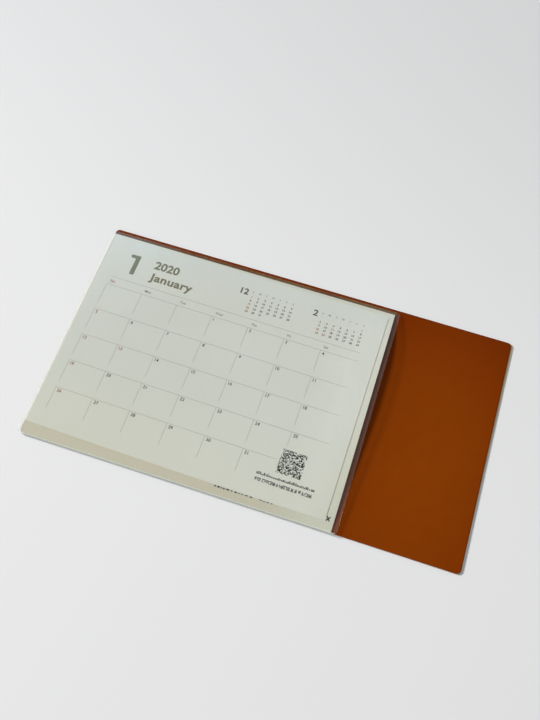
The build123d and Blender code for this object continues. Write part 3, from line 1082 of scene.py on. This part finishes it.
def build_cut_marks(finish):
    """A cross beside the page's corner, and ticks that show past its near edge."""
    bm = bmesh.new()
    add_cross(bm)
    draw = random.Random(TICK_SEED)
    x = TICKS_LEFT
    while x < TICKS_RIGHT:
        reach = FAINT_REACH if x > TICK_BREAK[0] else DEEP_REACH - (x - TICKS_LEFT) / REACH_SLOPE
        length, depth = draw.uniform(*TICK_LENGTHS), draw.uniform(*TICK_DEPTHS) * reach
        if not TICK_BREAK[0] <= x <= TICK_BREAK[1]:
            add_bar(bm, x * MM, -PAGE_DEPTH - TICK_START * MM, length * MM, depth * MM)
        x += length + draw.uniform(*TICK_GAPS)
    drape(bm, undersheet_ink_height)
    put("cut_marks", bm, finish, "black_ink", "printed_cut_marks")


# Stage

def build_floor():
    bm = bmesh.new()
    bmesh.ops.create_grid(bm, x_segments=FLOOR_STEPS, y_segments=FLOOR_STEPS, size=FLOOR_SIZE / 2)
    made, t = material("pale_floor")
    # Painted shade: darker towards the far side.
    color = t.mix(t.along("Y", *FLOOR_SHADE_FADE), FLOOR_COLOR, FLOOR_FAR_SHADE)
    t.principled(color, 0.9, Specular_IOR_Level=0.0)
    floor = new_object("floor", bm, made)
    floor.location.z = -FLOOR_DROP
    floor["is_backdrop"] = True


def build_world():
    """Soft light from all round, stronger towards the horizon."""
    world = bpy.data.worlds.new("world")
    bpy.context.scene.world = world
    world.use_nodes = True
    world.node_tree.nodes.clear()
    t = Tree(world.node_tree)
    direction = t.add("ShaderNodeTexCoord").outputs["Generated"]
    height = t.add("ShaderNodeSeparateXYZ", {"Vector": direction}).outputs["Z"]
    low = t.math("SUBTRACT", 1.0, t.math("MAXIMUM", height, 0.0))
    low = t.math("POWER", low, HORIZON_POWER)
    level = t.math("ADD", t.math("MULTIPLY", low, HORIZON_RISE), ZENITH_LEVEL)
    light = t.add("ShaderNodeBackground", {"Color": WORLD_COLOR, "Strength": level})
    t.add("ShaderNodeOutputWorld", {"Surface": light.outputs[0]})


def build_lamp(name, shape, size, power, color, aim, direction, distance):
    """An area lamp at a distance from the place it aims at."""
    lamp = bpy.data.lights.new(name, "AREA")
    lamp.shape = shape
    lamp.size = size
    lamp.energy = power
    lamp.color = color
    holder = bpy.data.objects.new(name, lamp)
    holder.location = Vector(aim) + Vector(direction) * distance
    holder.rotation_euler = Vector(direction).to_track_quat("Z", "Y").to_euler()
    bpy.context.scene.collection.objects.link(holder)


def build_lamps():
    level = math.cos(LAMP_ELEVATION)
    direction = level * math.cos(LAMP_AZIMUTH), level * math.sin(LAMP_AZIMUTH), math.sin(LAMP_ELEVATION)
    build_lamp("window", "DISK", LAMP_SIZE, LAMP_POWER, LAMP_COLOR, LAMP_AIM, direction, LAMP_DISTANCE)
    build_lamp(
        "far_window", "SQUARE", PANEL_SIZE, PANEL_POWER, PANEL_COLOR,
        PANEL_AIM, PANEL_DIRECTION, PANEL_DISTANCE,
    )


def build_camera():
    camera = bpy.data.cameras.new("camera")
    camera.lens = LENS
    camera.sensor_width = SENSOR
    camera.clip_start = CLIP_START
    holder = bpy.data.objects.new("camera", camera)
    holder.location = CAMERA_PLACE
    holder.rotation_euler = CAMERA_TURN
    bpy.context.scene.collection.objects.link(holder)
    bpy.context.scene.camera = holder


def dress_node(node, finish):
    """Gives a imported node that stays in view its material."""
    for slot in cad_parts[node].material_slots:
        slot.material = finish


def main():
    dark, red, light, black, heading, edge = [ink_material(name, *ink) for name, ink in INKS.items()]
    dress_node("leather_face", leather_material())
    dress_node("mat_backing", backing_material())
    build_undersheet(paper_material("cream_paper", *CREAM_PAPER, undersheet_tone))
    build_page(paper_material("white_paper", *WHITE_PAPER, page_tone))
    build_cover(cover_material())
    dress_node("cover_adhesive_strip", adhesive_material())
    build_rules(light)
    build_edge_line(edge)
    build_dates(dark, False, "dates", "dark_ink", "printed_dates")
    build_dates(red, True, "red_dates", "red_ink", "printed_red_dates")
    build_weekdays(light)
    build_heading(heading)
    build_small(dark, False, "small_months", "dark_ink", "printed_small_months")
    build_small(red, True, "small_red_dates", "red_ink", "printed_small_red_marks")
    build_block(black)
    build_cut_marks(black)
    build_floor()
    build_world()
    build_lamps()
    build_camera()
    bpy.context.scene.view_settings.view_transform = "Standard"


main()

new_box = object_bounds()
[[list(map(float, corner)) for corner in box] for box in (cad_box, new_box)]
